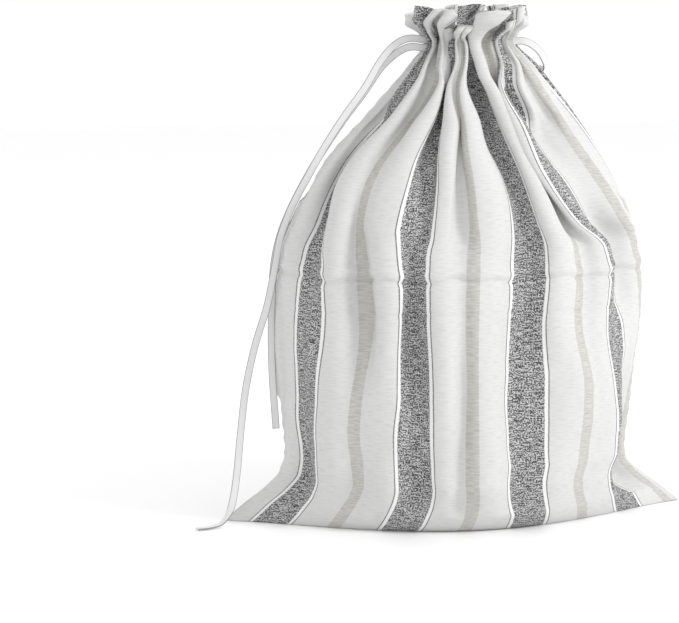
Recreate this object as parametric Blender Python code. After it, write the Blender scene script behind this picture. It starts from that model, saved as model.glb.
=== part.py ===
"""Linen bread bag, gathered shut by a flat tape and standing on its folded bottom.

Metres, +Z up. The origin is on the floor, at the middle of the base. The front panel
faces -Y. The cloth is one strip, folded at the bottom and seamed at both sides, so each
level of the bag is a loop of twice the panel's width, laid in pleats where it is narrow.
"""

import bpy
import numpy as np
from mathutils import Vector

# Cloth
PANEL_WIDTH = 0.330
CLOTH_WALL = 0.0011
COLUMNS_A_PLEAT = 6
MITRE_LIMIT = 0.62
SMOOTH_UP_TO = 0.9

# Levels of the bag that other sizes are read from
NECK_HEIGHT = 0.317
RIM_HEIGHT = 0.338
FIN_TOP = 0.044
FIN_HALF_THICKNESS = 0.0022
FIN_END_POWER = 8

# Drawstring tape
TAPE_WIDTH = 0.0050
TAPE_THICKNESS = 0.0010
TAPE_STEP = 0.0060
ROUTE_PARTS = 16

# Finishes
LINEN_COLOUR = (0.80, 0.79, 0.76, 1.0)
TAPE_COLOUR = (0.86, 0.86, 0.84, 1.0)
CLOTH_ROUGHNESS = 0.9

# The bag's outer form. End power shapes the two ends of a level: 0.5 is an ellipse and
# more than 1 draws each end out into the thin fin of a bottom corner
FORM = (
    # height, half width, half depth, centre x, end power
    (0.000, 0.1590, 0.0590, 0.000, 1.45),
    (0.005, 0.1530, 0.0660, 0.000, 1.32),
    (0.012, 0.1445, 0.0715, 0.000, 1.12),
    (0.022, 0.1310, 0.0760, 0.000, 0.88),
    (0.033, 0.1205, 0.0795, 0.000, 0.66),
    (0.046, 0.1160, 0.0815, 0.000, 0.53),
    (0.077, 0.1190, 0.0835, 0.000, 0.50),
    (0.121, 0.1220, 0.0840, 0.000, 0.50),
    (0.160, 0.1213, 0.0835, 0.000, 0.50),
    (0.182, 0.1195, 0.0810, 0.001, 0.50),
    (0.200, 0.1150, 0.0770, 0.003, 0.50),
    (0.236, 0.0960, 0.0650, 0.004, 0.50),
    (0.273, 0.0670, 0.0500, 0.009, 0.50),
    (0.301, 0.0440, 0.0370, 0.010, 0.50),
    (0.317, 0.0300, 0.0275, 0.008, 0.50),
    (0.325, 0.0345, 0.0310, 0.007, 0.50),
    (0.338, 0.0415, 0.0370, 0.005, 0.50),
)

# Levels at which the cloth is laid, from the floor to the neck, then up the ruffle
WALL_LEVELS = (0.0, 0.005, 0.012, 0.022, 0.033, 0.046, 0.070, 0.100, 0.132, 0.160, 0.182,
               0.200, 0.216, 0.232, 0.247, 0.261, 0.275, 0.288, 0.301, 0.3095, 0.317)
RUFFLE_LEVELS = (0.325, 0.332, 0.338)

# Pleats of the front from the left seam, then of the back from the right seam. A pleat
# fades out at its reach, and rise is how far its lobe stands above the ruffle's rim
PLEATS = (
    # panel, width, reach, rise
    ("front", 0.050, 0.150, -0.002),
    ("front", 0.042, 0.245, 0.003),
    ("front", 0.042, 0.070, 0.002),
    ("front", 0.032, 0.255, 0.004),
    ("front", 0.038, 0.165, 0.003),
    ("front", 0.052, 0.150, 0.002),
    ("front", 0.037, 0.215, -0.001),
    ("front", 0.037, 0.180, 0.000),
    ("back", 0.044, 0.190, 0.002),
    ("back", 0.041, 0.150, 0.004),
    ("back", 0.040, 0.235, 0.001),
    ("back", 0.041, 0.110, 0.003),
    ("back", 0.040, 0.225, 0.004),
    ("back", 0.042, 0.160, 0.001),
    ("back", 0.042, 0.240, 0.002),
    ("back", 0.040, 0.170, -0.001),
)
PLEAT_FADE = 0.090
SLACK_SHARE = 0.16
VALLEY_SHARPNESS = 0.9
LEAST_SHARPNESS = 0.01
EVEN_FROM = 0.27
EVEN_RISE = 0.05

# Routes of the free stretches of tape, each from where it leaves the gathered neck
TAIL_LEFT_ROUTE = (
    (-0.0252, -0.0004, 0.3180),
    (-0.0320, -0.0012, 0.3188),
    (-0.0390, -0.0024, 0.3175),
    (-0.0470, -0.0032, 0.3120),
    (-0.0550, -0.0038, 0.3020),
    (-0.0640, -0.0038, 0.2870),
    (-0.0787, -0.0036, 0.2670),
    (-0.0905, -0.0034, 0.2490),
    (-0.1022, -0.0032, 0.2290),
    (-0.1130, -0.0032, 0.2090),
    (-0.1205, -0.0034, 0.1895),
    (-0.1245, -0.0038, 0.1690),
    (-0.1300, -0.0050, 0.1440),
    (-0.1385, -0.0070, 0.1180),
    (-0.1450, -0.0090, 0.0900),
    (-0.1490, -0.0110, 0.0600),
    (-0.1520, -0.0130, 0.0330),
    (-0.1560, -0.0150, 0.0125),
    (-0.1620, -0.0175, 0.0030),
    (-0.1700, -0.0205, 0.0010),
    (-0.1800, -0.0240, 0.0010),
)
TAIL_BACK_ROUTE = (
    (-0.0252, 0.0004, 0.3126),
    (-0.0310, 0.0018, 0.3132),
    (-0.0370, 0.0036, 0.3115),
    (-0.0455, 0.0048, 0.3055),
    (-0.0530, 0.0054, 0.2975),
    (-0.0630, 0.0056, 0.2830),
    (-0.0768, 0.0056, 0.2650),
    (-0.0900, 0.0054, 0.2460),
    (-0.1018, 0.0050, 0.2270),
    (-0.1125, 0.0046, 0.2070),
    (-0.1200, 0.0044, 0.1880),
    (-0.1240, 0.0042, 0.1680),
    (-0.1252, 0.0040, 0.1450),
    (-0.1256, 0.0040, 0.1200),
    (-0.1250, 0.0042, 0.0950),
    (-0.1236, 0.0046, 0.0750),
    (-0.1225, 0.0050, 0.0600),
)
LOOP_RIGHT_ROUTE = (
    (0.0393, -0.0010, 0.3165),
    (0.0440, -0.0012, 0.3165),
    (0.0500, -0.0008, 0.3140),
    (0.0555, 0.0005, 0.3095),
    (0.0600, 0.0035, 0.3030),
    (0.0615, 0.0085, 0.2985),
    (0.0590, 0.0145, 0.2975),
    (0.0545, 0.0200, 0.2995),
    (0.0490, 0.0235, 0.3045),
    (0.0430, 0.0240, 0.3100),
    (0.0380, 0.0215, 0.3145),
    (0.0348, 0.0180, 0.3165),
)
TAIL_FACING = (0.0, -1.0, 0.0)
FLOOR_FACING = (0.0, 0.0, 1.0)
LANDING_HEIGHT = 0.030
LOOP_AXIS = (0.58, 0.12, 0.80)

CLOTH_SAMPLES = 1320
OUTLINE_SAMPLES = 480
SOLVE_STEPS = 30
STEEPEST_FOLD = 1.55


def clear_scene():
    """Remove whatever the scene holds."""
    for thing in list(bpy.data.objects):
        bpy.data.objects.remove(thing, do_unlink=True)


def make_finish(name, colour, roughness):
    """Return a Principled material of one colour."""
    finish = bpy.data.materials.new(name)
    finish.use_nodes = True
    shader = finish.node_tree.nodes["Principled BSDF"]
    shader.inputs["Base Color"].default_value = colour
    shader.inputs["Roughness"].default_value = roughness
    shader.inputs["Metallic"].default_value = 0.0
    return finish


def add_part(name, points, faces, finish):
    """Make one smooth-shaded object of the given points and faces."""
    mesh = bpy.data.meshes.new(name)
    mesh.from_pydata([tuple(map(float, point)) for point in points], [], faces)
    mesh.validate()
    mesh.materials.append(finish)
    mesh.shade_smooth()
    mesh.set_sharp_from_angle(angle=SMOOTH_UP_TO)
    part = bpy.data.objects.new(name, mesh)
    bpy.context.collection.objects.link(part)
    return part


def smooth_step(value):
    """Rise smoothly from 0 to 1 as the value goes from 0 to 1."""
    value = np.clip(value, 0.0, 1.0)
    return value * value * (3.0 - 2.0 * value)


def read_form(height):
    """Read the columns of FORM at a height, on a smooth curve that never overshoots."""
    rows = np.array(FORM)
    heights, columns = rows[:, 0], rows[:, 1:]
    height = min(max(height, heights[0]), heights[-1])
    spans = np.diff(heights)[:, None]
    slopes = np.diff(columns, axis=0) / spans
    inner = np.where(slopes[1:] * slopes[:-1] > 0.0,
                     2.0 * slopes[1:] * slopes[:-1] / (slopes[1:] + slopes[:-1] + 1e-30), 0.0)
    tangents = np.vstack([slopes[:1], inner, slopes[-1:]])
    row = int(np.clip(np.searchsorted(heights, height) - 1, 0, len(spans) - 1))
    span = spans[row, 0]
    part = (height - heights[row]) / span
    start, end = columns[row], columns[row + 1]
    rise = part * part * (3.0 - 2.0 * part)
    lean_out = part * (1.0 - part) ** 2 * span * tangents[row]
    lean_in = part * part * (part - 1.0) * span * tangents[row + 1]
    return start + (end - start) * rise + lean_out + lean_in


def level_outline(height):
    """Return a level's smooth front half, left to right, with its inward directions."""
    half_width, half_depth, centre, power = read_form(height)
    turn = np.linspace(0.0, np.pi, OUTLINE_SAMPLES)
    fin = FIN_HALF_THICKNESS * smooth_step(1.0 - height / FIN_TOP)
    body_depth = half_depth * np.sin(turn) ** (2.0 * power)
    fin_depth = fin * np.sqrt(np.clip(1.0 - np.cos(turn) ** FIN_END_POWER, 0.0, 1.0))
    across = centre - half_width * np.cos(turn)
    depth = np.hypot(body_depth, fin_depth)
    points = np.column_stack([across, -depth])
    along = np.gradient(points, axis=0)
    along /= np.maximum(np.linalg.norm(along, axis=1, keepdims=True), 1e-12)
    inward = np.column_stack([-along[:, 1], along[:, 0]])
    return points, inward


def panel_pleats(panel):
    """Return the rows of PLEATS that belong to one panel, and where each starts."""
    rows = [row for row in PLEATS if row[0] == panel]
    starts = np.concatenate([[0.0], np.cumsum([row[1] for row in rows])[:-1]])
    return rows, starts


def fold_angles(panel, places, height):
    """Return how steeply the cloth turns inward at each place across a panel."""
    rows, starts = panel_pleats(panel)
    fading = 1.0 - smooth_step((height - EVEN_FROM) / EVEN_RISE)
    sharpness = LEAST_SHARPNESS + VALLEY_SHARPNESS * fading
    angles = np.zeros_like(places)
    for (_, width, reach, _), start in zip(rows, starts):
        share = np.clip((places - start) / width, 0.0, 1.0)
        phase = 0.5 + 0.5 * np.tanh(sharpness * (2.0 * share - 1.0)) / np.tanh(sharpness)
        strength = SLACK_SHARE + (1.0 - SLACK_SHARE) * smooth_step((height - reach) / PLEAT_FADE)
        angles += strength * np.sin(2.0 * np.pi * phase)
    return angles


def lay_panel(panel, height, places):
    """Lay one panel's cloth along its half of a level, in folds that take up its slack."""
    outline, inward = level_outline(height)
    if panel == "back":
        outline = outline[::-1] * np.array([1.0, -1.0])
        inward = inward[::-1] * np.array([1.0, -1.0])
    run = np.concatenate([[0.0], np.cumsum(np.linalg.norm(np.diff(outline, axis=0), axis=1))])
    fine = np.linspace(0.0, PANEL_WIDTH, CLOTH_SAMPLES // 2 + 1)
    angles = fold_angles(panel, fine, height)
    step = fine[1] - fine[0]

    def laid(scale):
        middle = 0.5 * scale * (angles[1:] + angles[:-1])
        ahead = np.concatenate([[0.0], np.cumsum(np.cos(middle)) * step])
        depth = np.concatenate([[0.0], np.cumsum(np.sin(middle)) * step])
        depth -= fine / PANEL_WIDTH * depth[-1]
        place = ahead / ahead[-1] * run[-1]
        on_line = np.column_stack([np.interp(place, run, outline[:, k]) for k in (0, 1)])
        off_line = np.column_stack([np.interp(place, run, inward[:, k]) for k in (0, 1)])
        return on_line + off_line * depth[:, None]

    low, high = 0.0, STEEPEST_FOLD
    for _ in range(SOLVE_STEPS):
        scale = 0.5 * (low + high)
        length = np.linalg.norm(np.diff(laid(scale), axis=0), axis=1).sum()
        if length < PANEL_WIDTH:
            low = scale
        else:
            high = scale
    line = laid(low)
    return np.column_stack([np.interp(places, fine, line[:, k]) for k in (0, 1)])


def column_places(panel):
    """Return where the mesh columns stand across a panel, its far seam left out."""
    rows, starts = panel_pleats(panel)
    parts = np.arange(COLUMNS_A_PLEAT) / COLUMNS_A_PLEAT
    return np.concatenate([start + row[1] * parts for row, start in zip(rows, starts)])


def column_rises():
    """Return how far the ruffle's rim stands up at each column, highest on each lobe."""
    rises = []
    for panel in ("front", "back"):
        rows, _ = panel_pleats(panel)
        for index, row in enumerate(rows):
            following = rows[(index + 1) % len(rows)][3]
            parts = np.arange(COLUMNS_A_PLEAT) / COLUMNS_A_PLEAT
            rises.append(row[3] + (following - row[3]) * smooth_step(parts))
    return np.concatenate(rises)


def level_loop(height):
    """Return one level of the laid cloth as a closed loop, from the left seam."""
    front = lay_panel("front", height, column_places("front"))
    back = lay_panel("back", height, column_places("back"))
    return np.vstack([front, back])


def inset_loop(loop, distance):
    """Return the loop moved inward by a distance."""
    before = loop - np.roll(loop, 1, axis=0)
    after = np.roll(loop, -1, axis=0) - loop
    before /= np.linalg.norm(before, axis=1, keepdims=True)
    after /= np.linalg.norm(after, axis=1, keepdims=True)
    inward_before = np.column_stack([-before[:, 1], before[:, 0]])
    inward_after = np.column_stack([-after[:, 1], after[:, 0]])
    middle = inward_before + inward_after
    middle /= np.maximum(np.linalg.norm(middle, axis=1, keepdims=True), 1e-9)
    reach = 1.0 / np.clip((middle * inward_before).sum(axis=1), MITRE_LIMIT, 1.0)
    return loop + middle * (distance * reach)[:, None]


def cloth_rows(wall):
    """Return the rows of points of the cloth's outer face, or of its inner one."""
    rises = column_rises()
    rows = []
    for height in WALL_LEVELS + RUFFLE_LEVELS:
        loop = level_loop(height)
        if wall > 0.0:
            loop = inset_loop(loop, wall)
        share = max(0.0, (height - NECK_HEIGHT) / (RIM_HEIGHT - NECK_HEIGHT))
        heights = max(height, wall) + rises * share
        rows.append(np.column_stack([loop, heights]))
    return rows


def fold_line(first_row, seam_count):
    """Return the points of the bottom fold, between the two corners of the base."""
    left, right = first_row[0], first_row[seam_count]
    parts = np.arange(1, seam_count)[:, None] / seam_count
    return left + (right - left) * parts


def wall_faces(first, count, row_count, outward):
    """Return the faces between the rows of one face of the cloth."""
    faces = []
    for row in range(row_count - 1):
        for column in range(count):
            following = (column + 1) % count
            low, high = first + row * count, first + (row + 1) * count
            pair = ((low + column, low + following, high + following),
                    (low + column, high + following, high + column))
            faces += pair if outward else [corners[::-1] for corners in pair]
    return faces


def base_faces(first, fold_first, count, seam_count, outward):
    """Return the faces of the base, from its fold line out to both edges."""
    def front(index):
        return first + index

    def back(index):
        return first + (count - index) % count

    def fold(index):
        if index in (0, seam_count):
            return first + index
        return fold_first + index - 1

    faces = []
    for index in range(seam_count):
        for edge, flip in ((front, False), (back, True)):
            corners = [edge(index), fold(index), fold(index + 1), edge(index + 1)]
            corners = list(dict.fromkeys(corners))
            if flip:
                corners.reverse()
            if not outward:
                corners.reverse()
            faces.append(tuple(corners))
    return faces


def make_bag(finish):
    """Make the bag: one hollow sheet, open at the middle of its gathered neck."""
    outer, inner = cloth_rows(0.0), cloth_rows(CLOTH_WALL)
    count = len(outer[0])
    seam_count = len(column_places("front"))
    row_count = len(outer)
    outer_fold = fold_line(outer[0], seam_count)
    inner_fold = fold_line(inner[0], seam_count)
    points = np.vstack(outer + [outer_fold] + inner + [inner_fold])
    inner_first = row_count * count + len(outer_fold)
    faces = wall_faces(0, count, row_count, True)
    faces += base_faces(0, row_count * count, count, seam_count, True)
    faces += wall_faces(inner_first, count, row_count, False)
    faces += base_faces(inner_first, inner_first + row_count * count, count, seam_count, False)
    outer_rim = (row_count - 1) * count
    inner_rim = inner_first + outer_rim
    for column in range(count):
        following = (column + 1) % count
        faces.append((outer_rim + column, outer_rim + following,
                      inner_rim + following, inner_rim + column))
    return add_part("bag_cloth", points, faces, finish)


def smooth_route(route, step):
    """Return points a step apart on a smooth curve through a route's own points."""
    stops = [Vector(stop) for stop in route]
    ends = [stops[0] * 2.0 - stops[1]] + stops + [stops[-1] * 2.0 - stops[-2]]
    dense = []
    for before, start, end, after in zip(ends, ends[1:], ends[2:], ends[3:]):
        for part in np.linspace(0.0, 1.0, ROUTE_PARTS, endpoint=False):
            bend = 0.5 * ((end - before) * part
                          + (2.0 * before - 5.0 * start + 4.0 * end - after) * part ** 2
                          + (3.0 * start - before - 3.0 * end + after) * part ** 3)
            dense.append(start + bend)
    dense = np.array(dense + [stops[-1]])
    run = np.concatenate([[0.0], np.cumsum(np.linalg.norm(np.diff(dense, axis=0), axis=1))])
    count = int(round(run[-1] / step)) + 1
    places = np.linspace(0.0, run[-1], count)
    return np.column_stack([np.interp(places, run, dense[:, k]) for k in range(3)])


def tail_facing(line, along):
    """Return the way a tail's flat side looks: to the front, and up where it lies down."""
    hung = smooth_step(line[:, 2:] / LANDING_HEIGHT)
    return hung * np.array(TAIL_FACING) + (1.0 - hung) * np.array(FLOOR_FACING)


def loop_facing(line, along):
    """Return the way the loop's flat side looks: away from the middle of its bend."""
    return np.cross(np.array(LOOP_AXIS), along)


def make_tape(name, route, facing, finish):
    """Make one free stretch of the flat tape along its route."""
    line = smooth_route(route, TAPE_STEP)
    along = np.gradient(line, axis=0)
    along /= np.linalg.norm(along, axis=1, keepdims=True)
    across = np.cross(along, facing(line, along))
    across /= np.linalg.norm(across, axis=1, keepdims=True)
    through = np.cross(across, along)
    points = []
    for centre, side, lift in zip(line, across, through):
        for wide, thick in ((-0.5, -0.5), (0.5, -0.5), (0.5, 0.5), (-0.5, 0.5)):
            points.append(centre + side * wide * TAPE_WIDTH + lift * thick * TAPE_THICKNESS)
    faces = []
    for ring in range(len(line) - 1):
        for corner in range(4):
            following = (corner + 1) % 4
            low, high = ring * 4, ring * 4 + 4
            faces.append((low + corner, high + corner, high + following, low + following))
    last = (len(line) - 1) * 4
    faces += [(0, 1, 2, 3), (last + 3, last + 2, last + 1, last)]
    return add_part(name, points, faces, finish)


def main():
    """Build the bag and the free stretches of its drawstring."""
    clear_scene()
    linen = make_finish("linen", LINEN_COLOUR, CLOTH_ROUGHNESS)
    cotton = make_finish("cotton_tape", TAPE_COLOUR, CLOTH_ROUGHNESS)
    make_bag(linen)
    make_tape("tape_tail_left", TAIL_LEFT_ROUTE, tail_facing, cotton)
    make_tape("tape_tail_back", TAIL_BACK_ROUTE, tail_facing, cotton)
    make_tape("tape_loop_right", LOOP_RIGHT_ROUTE, loop_facing, cotton)


main()
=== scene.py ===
"""The looks of the linen bread bag: its pleated striped cloth, its stitches and its tape.

Everything is in metres in the part's own frame: +Z up, the front panel facing -Y.
Distances across a panel are called places. They start at its first seam, which is the
left one for the front panel and the right one for the back panel.
"""

import logging
import math
from dataclasses import dataclass, field
from enum import Enum

import bpy
import numpy as np
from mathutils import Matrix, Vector


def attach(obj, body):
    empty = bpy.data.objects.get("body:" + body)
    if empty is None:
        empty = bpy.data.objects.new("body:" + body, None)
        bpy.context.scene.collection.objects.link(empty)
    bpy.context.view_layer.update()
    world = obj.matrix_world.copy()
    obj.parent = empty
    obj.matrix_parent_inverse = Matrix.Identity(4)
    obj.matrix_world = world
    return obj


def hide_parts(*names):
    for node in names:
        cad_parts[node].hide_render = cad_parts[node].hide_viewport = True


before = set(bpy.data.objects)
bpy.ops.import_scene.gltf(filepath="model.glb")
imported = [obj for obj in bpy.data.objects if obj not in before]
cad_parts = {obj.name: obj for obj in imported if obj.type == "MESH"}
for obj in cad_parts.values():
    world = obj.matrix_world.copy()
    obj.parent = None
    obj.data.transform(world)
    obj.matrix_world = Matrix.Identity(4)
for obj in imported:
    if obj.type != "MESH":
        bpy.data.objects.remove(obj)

log = logging.getLogger("bread_bag")

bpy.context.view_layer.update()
PHOTO_WIDTH = 679
PHOTO_HEIGHT = 623
BODY = "root"
LEAST_LENGTH = 1e-12

# The colour sockets of a Mix node, which share their names with its number sockets
MIX_SHARE, MIX_FIRST, MIX_SECOND, MIX_RESULT = 0, 6, 7, 2

Array = np.ndarray
Point = tuple[float, float, float]
Route = tuple[Point, ...]
Face = tuple[int, ...]
Colour = tuple[float, float, float, float]
Span = tuple[float, float]
Socket = bpy.types.NodeSocket


class Panel(Enum):
    """The two panels of the bag, as the folded strip of cloth makes them."""

    FRONT = "front"
    BACK = "back"


class Facing(Enum):
    """How the flat side of a free stretch of tape is turned."""

    TO_THE_FRONT = "to_the_front"
    ROUND_A_BEND = "round_a_bend"


def smooth_step(value: Array | float) -> Array | float:
    """Rise smoothly from 0 to 1 as the value goes from 0 to 1."""
    value = np.clip(value, 0.0, 1.0)
    return value * value * (3.0 - 2.0 * value)


def bell(value: Array | float, middle: float, reach: float) -> Array:
    """Return a soft bump of height 1 at the middle, about twice the reach wide."""
    return np.exp(-((value - middle) / reach) ** 2)


def unit(ways: Array) -> Array:
    """Return rows of directions, each brought to length 1."""
    return ways / np.maximum(np.linalg.norm(ways, axis=1, keepdims=True), LEAST_LENGTH)


def inward_of(line: Array) -> Array:
    """Return the level way into the bag at each point of a line that goes round it."""
    along = unit(np.gradient(line, axis=0))
    return np.column_stack([-along[:, 1], along[:, 0]])


def run_of(line: Array) -> Array:
    """Return how far along a line each of its points lies."""
    steps = np.linalg.norm(np.diff(line, axis=0), axis=1)
    return np.concatenate([[0.0], np.cumsum(steps)])


def read_along(line: Array, run: Array, places: Array) -> Array:
    """Return the points of a line at the given distances along it."""
    return np.column_stack([np.interp(places, run, column) for column in line.T])


def smooth_curve(stops: Array, values: Array, at: Array) -> Array:
    """Read a smooth curve through values at rising stops, that never overshoots them.

    Args:
        stops: Where the values stand.
        values: One value, or one row of them, for each stop.
        at: Where to read the curve.

    Returns:
        The value, or the row of values, at each reading.
    """
    values = np.asarray(values, dtype=float)
    flat = values.ndim == 1
    if flat:
        values = values[:, None]
    stops = np.asarray(stops, dtype=float)
    spans = np.diff(stops)[:, None]
    slopes = np.diff(values, axis=0) / spans
    agree = slopes[1:] * slopes[:-1] > 0.0
    total = np.where(agree, slopes[1:] + slopes[:-1], 1.0)
    inner = np.where(agree, 2.0 * slopes[1:] * slopes[:-1] / total, 0.0)
    tangents = np.vstack([slopes[:1], inner, slopes[-1:]])
    at = np.clip(np.atleast_1d(np.asarray(at, dtype=float)), stops[0], stops[-1])
    row = np.clip(np.searchsorted(stops, at, side="right") - 1, 0, len(stops) - 2)
    span = spans[row]
    part = (at - stops[row])[:, None] / span
    rise = part * part * (3.0 - 2.0 * part)
    lean_out = part * (1.0 - part) ** 2 * span * tangents[row]
    lean_in = part * part * (part - 1.0) * span * tangents[row + 1]
    read = values[row] + (values[row + 1] - values[row]) * rise + lean_out + lean_in
    return read[:, 0] if flat else read


def new_piece(name: str, points: Array, faces: list[Face],
              edges: list[Face] | None = None) -> bpy.types.Object:
    """Make a mesh object at the origin from points and faces, or from edges alone.

    Args:
        name: The piece's name.
        points: One row of x, y and z for each point.
        faces: The point numbers of each face.
        edges: The point numbers of each edge that bounds no face.

    Returns:
        The new object, linked to the scene and shaded smooth.
    """
    mesh = bpy.data.meshes.new(name)
    mesh.from_pydata([tuple(map(float, point)) for point in points], edges or [], faces)
    mesh.shade_smooth()
    piece = bpy.data.objects.new(name, mesh)
    bpy.context.scene.collection.objects.link(piece)
    return piece


def write_map(mesh: bpy.types.Mesh, spots: Array) -> None:
    """Write the Cloth map that the materials read.

    Args:
        mesh: The mesh to map.
        spots: One row for each of its points: metres across the weave and metres up it.
    """
    layer = mesh.uv_layers.new(name="Cloth")
    corners = np.zeros(len(mesh.loops), dtype=np.int32)
    mesh.loops.foreach_get("vertex_index", corners)
    layer.data.foreach_set("uv", spots[corners].astype(np.float32).ravel())


@dataclass(frozen=True)
class Pleat:
    """One pleat of the gathers, wide crest to wide crest.

    Weight is how deep it is against its neighbours, splits the number of lobes that it
    makes at the neck, and kept how much of its weight it keeps on the body.
    """

    panel: Panel
    width: float
    weight: float = 1.0
    splits: int = 1
    kept: float = 1.0


PLEATS = (
    Pleat(Panel.FRONT, 0.050, splits=2),
    Pleat(Panel.FRONT, 0.042),
    Pleat(Panel.FRONT, 0.042),
    Pleat(Panel.FRONT, 0.026),
    Pleat(Panel.FRONT, 0.0625),
    Pleat(Panel.FRONT, 0.042, kept=0.25),
    Pleat(Panel.FRONT, 0.0655, splits=2),
    Pleat(Panel.BACK, 0.044, 0.80),
    Pleat(Panel.BACK, 0.041, 1.15),
    Pleat(Panel.BACK, 0.040, 0.70),
    Pleat(Panel.BACK, 0.041, 1.25),
    Pleat(Panel.BACK, 0.040, 0.80),
    Pleat(Panel.BACK, 0.042, 1.15),
    Pleat(Panel.BACK, 0.042, 0.75),
    Pleat(Panel.BACK, 0.040, 1.10),
)

# The ruffle's rim, from each panel's first seam: place, rise above the level, lean out
RIM = {
    Panel.FRONT: (
        (0.000, -0.005, 0.001),
        (0.008, -0.002, 0.004),
        (0.018, 0.000, 0.006),
        (0.032, 0.002, 0.003),
        (0.048, 0.000, 0.002),
        (0.070, 0.002, 0.002),
        (0.092, -0.001, 0.001),
        (0.108, -0.008, 0.001),
        (0.132, -0.011, 0.001),
        (0.160, -0.011, 0.001),
        (0.182, -0.008, 0.003),
        (0.205, -0.003, 0.007),
        (0.222, -0.001, 0.012),
        (0.240, -0.003, 0.011),
        (0.258, -0.008, 0.004),
        (0.280, -0.003, 0.003),
        (0.300, 0.002, 0.005),
        (0.316, 0.000, 0.006),
        (0.330, -0.005, 0.001),
    ),
    Panel.BACK: (
        (0.000, -0.005, 0.001),
        (0.012, -0.001, 0.005),
        (0.030, 0.001, 0.003),
        (0.065, 0.003, 0.001),
        (0.105, 0.000, 0.002),
        (0.145, 0.004, 0.000),
        (0.186, 0.001, 0.002),
        (0.227, 0.004, 0.001),
        (0.268, 0.000, 0.002),
        (0.300, 0.002, 0.002),
        (0.318, -0.001, 0.005),
        (0.330, -0.005, 0.001),
    ),
}

# Places on the front panel that are led round each level: the two seams, the middles of
# the coloured stripes, a mark beside the third dark stripe and a fold before the fourth
MARK_PLACES = (0.0, 0.0300, 0.0715, 0.1130, 0.1545, 0.1960, 0.2100, 0.2375, 0.2650, 0.2790,
               0.3205, 0.3300)
# Where they lie, as shares of the level's front half: height, then the share of each mark
MARK_SHARES = (
    (0.000, 0.000, 0.093, 0.221, 0.350, 0.474, 0.600, 0.645, 0.733, 0.822, 0.864, 0.976, 1.000),
    (0.016, 0.000, 0.093, 0.223, 0.354, 0.478, 0.604, 0.649, 0.736, 0.825, 0.867, 0.978, 1.000),
    (0.042, 0.000, 0.092, 0.222, 0.350, 0.471, 0.598, 0.643, 0.732, 0.828, 0.870, 0.982, 1.000),
    (0.058, 0.002, 0.094, 0.222, 0.352, 0.470, 0.592, 0.638, 0.728, 0.820, 0.861, 0.978, 1.000),
    (0.091, 0.020, 0.110, 0.235, 0.360, 0.469, 0.586, 0.632, 0.721, 0.796, 0.838, 0.962, 0.991),
    (0.136, 0.040, 0.131, 0.254, 0.351, 0.468, 0.590, 0.626, 0.697, 0.771, 0.812, 0.938, 0.967),
    (0.165, 0.036, 0.127, 0.246, 0.348, 0.469, 0.597, 0.633, 0.705, 0.775, 0.813, 0.930, 0.959),
    (0.185, 0.030, 0.120, 0.233, 0.344, 0.470, 0.602, 0.636, 0.704, 0.766, 0.804, 0.922, 0.951),
    (0.202, 0.026, 0.112, 0.213, 0.347, 0.461, 0.593, 0.620, 0.672, 0.702, 0.742, 0.868, 0.898),
    (0.231, 0.015, 0.080, 0.204, 0.350, 0.449, 0.579, 0.595, 0.625, 0.650, 0.690, 0.840, 0.873),
    (0.263, 0.000, 0.085, 0.215, 0.330, 0.412, 0.520, 0.539, 0.575, 0.606, 0.638, 0.797, 0.841),
    (0.290, -0.035, 0.085, 0.247, 0.305, 0.370, 0.470, 0.490, 0.530, 0.558, 0.582, 0.757, 0.820),
    (0.303, -0.043, 0.075, 0.212, 0.285, 0.380, 0.450, 0.464, 0.545, 0.596, 0.625, 0.767, 0.828),
    (0.317, -0.050, 0.065, 0.175, 0.265, 0.385, 0.430, 0.448, 0.575, 0.640, 0.672, 0.777, 0.835),
    (0.339, 0.000, 0.212, 0.315, 0.385, 0.430, 0.452, 0.480, 0.658, 0.700, 0.716, 0.800, 0.860),
)

# The same for the back panel, as shares of the way from the right seam to the left one
BACK_PLACES = (0.0, 0.1340, 0.2050, 0.2290, 0.3000, 0.3300)
BACK_SHARES = (
    (0.000, 0.000, 0.406, 0.621, 0.694, 0.909, 1.000),
    (0.308, 0.000, 0.406, 0.621, 0.694, 0.909, 1.000),
    (0.338, 0.000, 0.329, 0.421, 0.570, 0.789, 1.000),
)

# The outer form: height, half width, half depth, centre x and the power of the two ends
FORM = (
    (0.000, 0.1590, 0.0590, 0.000, 1.45),
    (0.005, 0.1530, 0.0660, 0.000, 1.32),
    (0.012, 0.1445, 0.0715, 0.000, 1.12),
    (0.022, 0.1310, 0.0760, 0.000, 0.88),
    (0.033, 0.1205, 0.0795, 0.000, 0.66),
    (0.046, 0.1175, 0.0790, 0.001, 0.48),
    (0.077, 0.1205, 0.0805, 0.001, 0.43),
    (0.121, 0.1230, 0.0805, 0.001, 0.42),
    (0.160, 0.1225, 0.0800, 0.001, 0.42),
    (0.182, 0.1205, 0.0780, 0.001, 0.43),
    (0.200, 0.1155, 0.0755, 0.003, 0.45),
    (0.236, 0.0965, 0.0645, 0.004, 0.48),
    (0.273, 0.0670, 0.0500, 0.009, 0.50),
    (0.301, 0.0440, 0.0370, 0.010, 0.50),
    (0.317, 0.0312, 0.0285, 0.0075, 0.50),
    (0.324, 0.0350, 0.0315, 0.0065, 0.50),
    (0.331, 0.0415, 0.0370, 0.0055, 0.50),
    (0.338, 0.0400, 0.0355, 0.005, 0.50),
)


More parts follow.
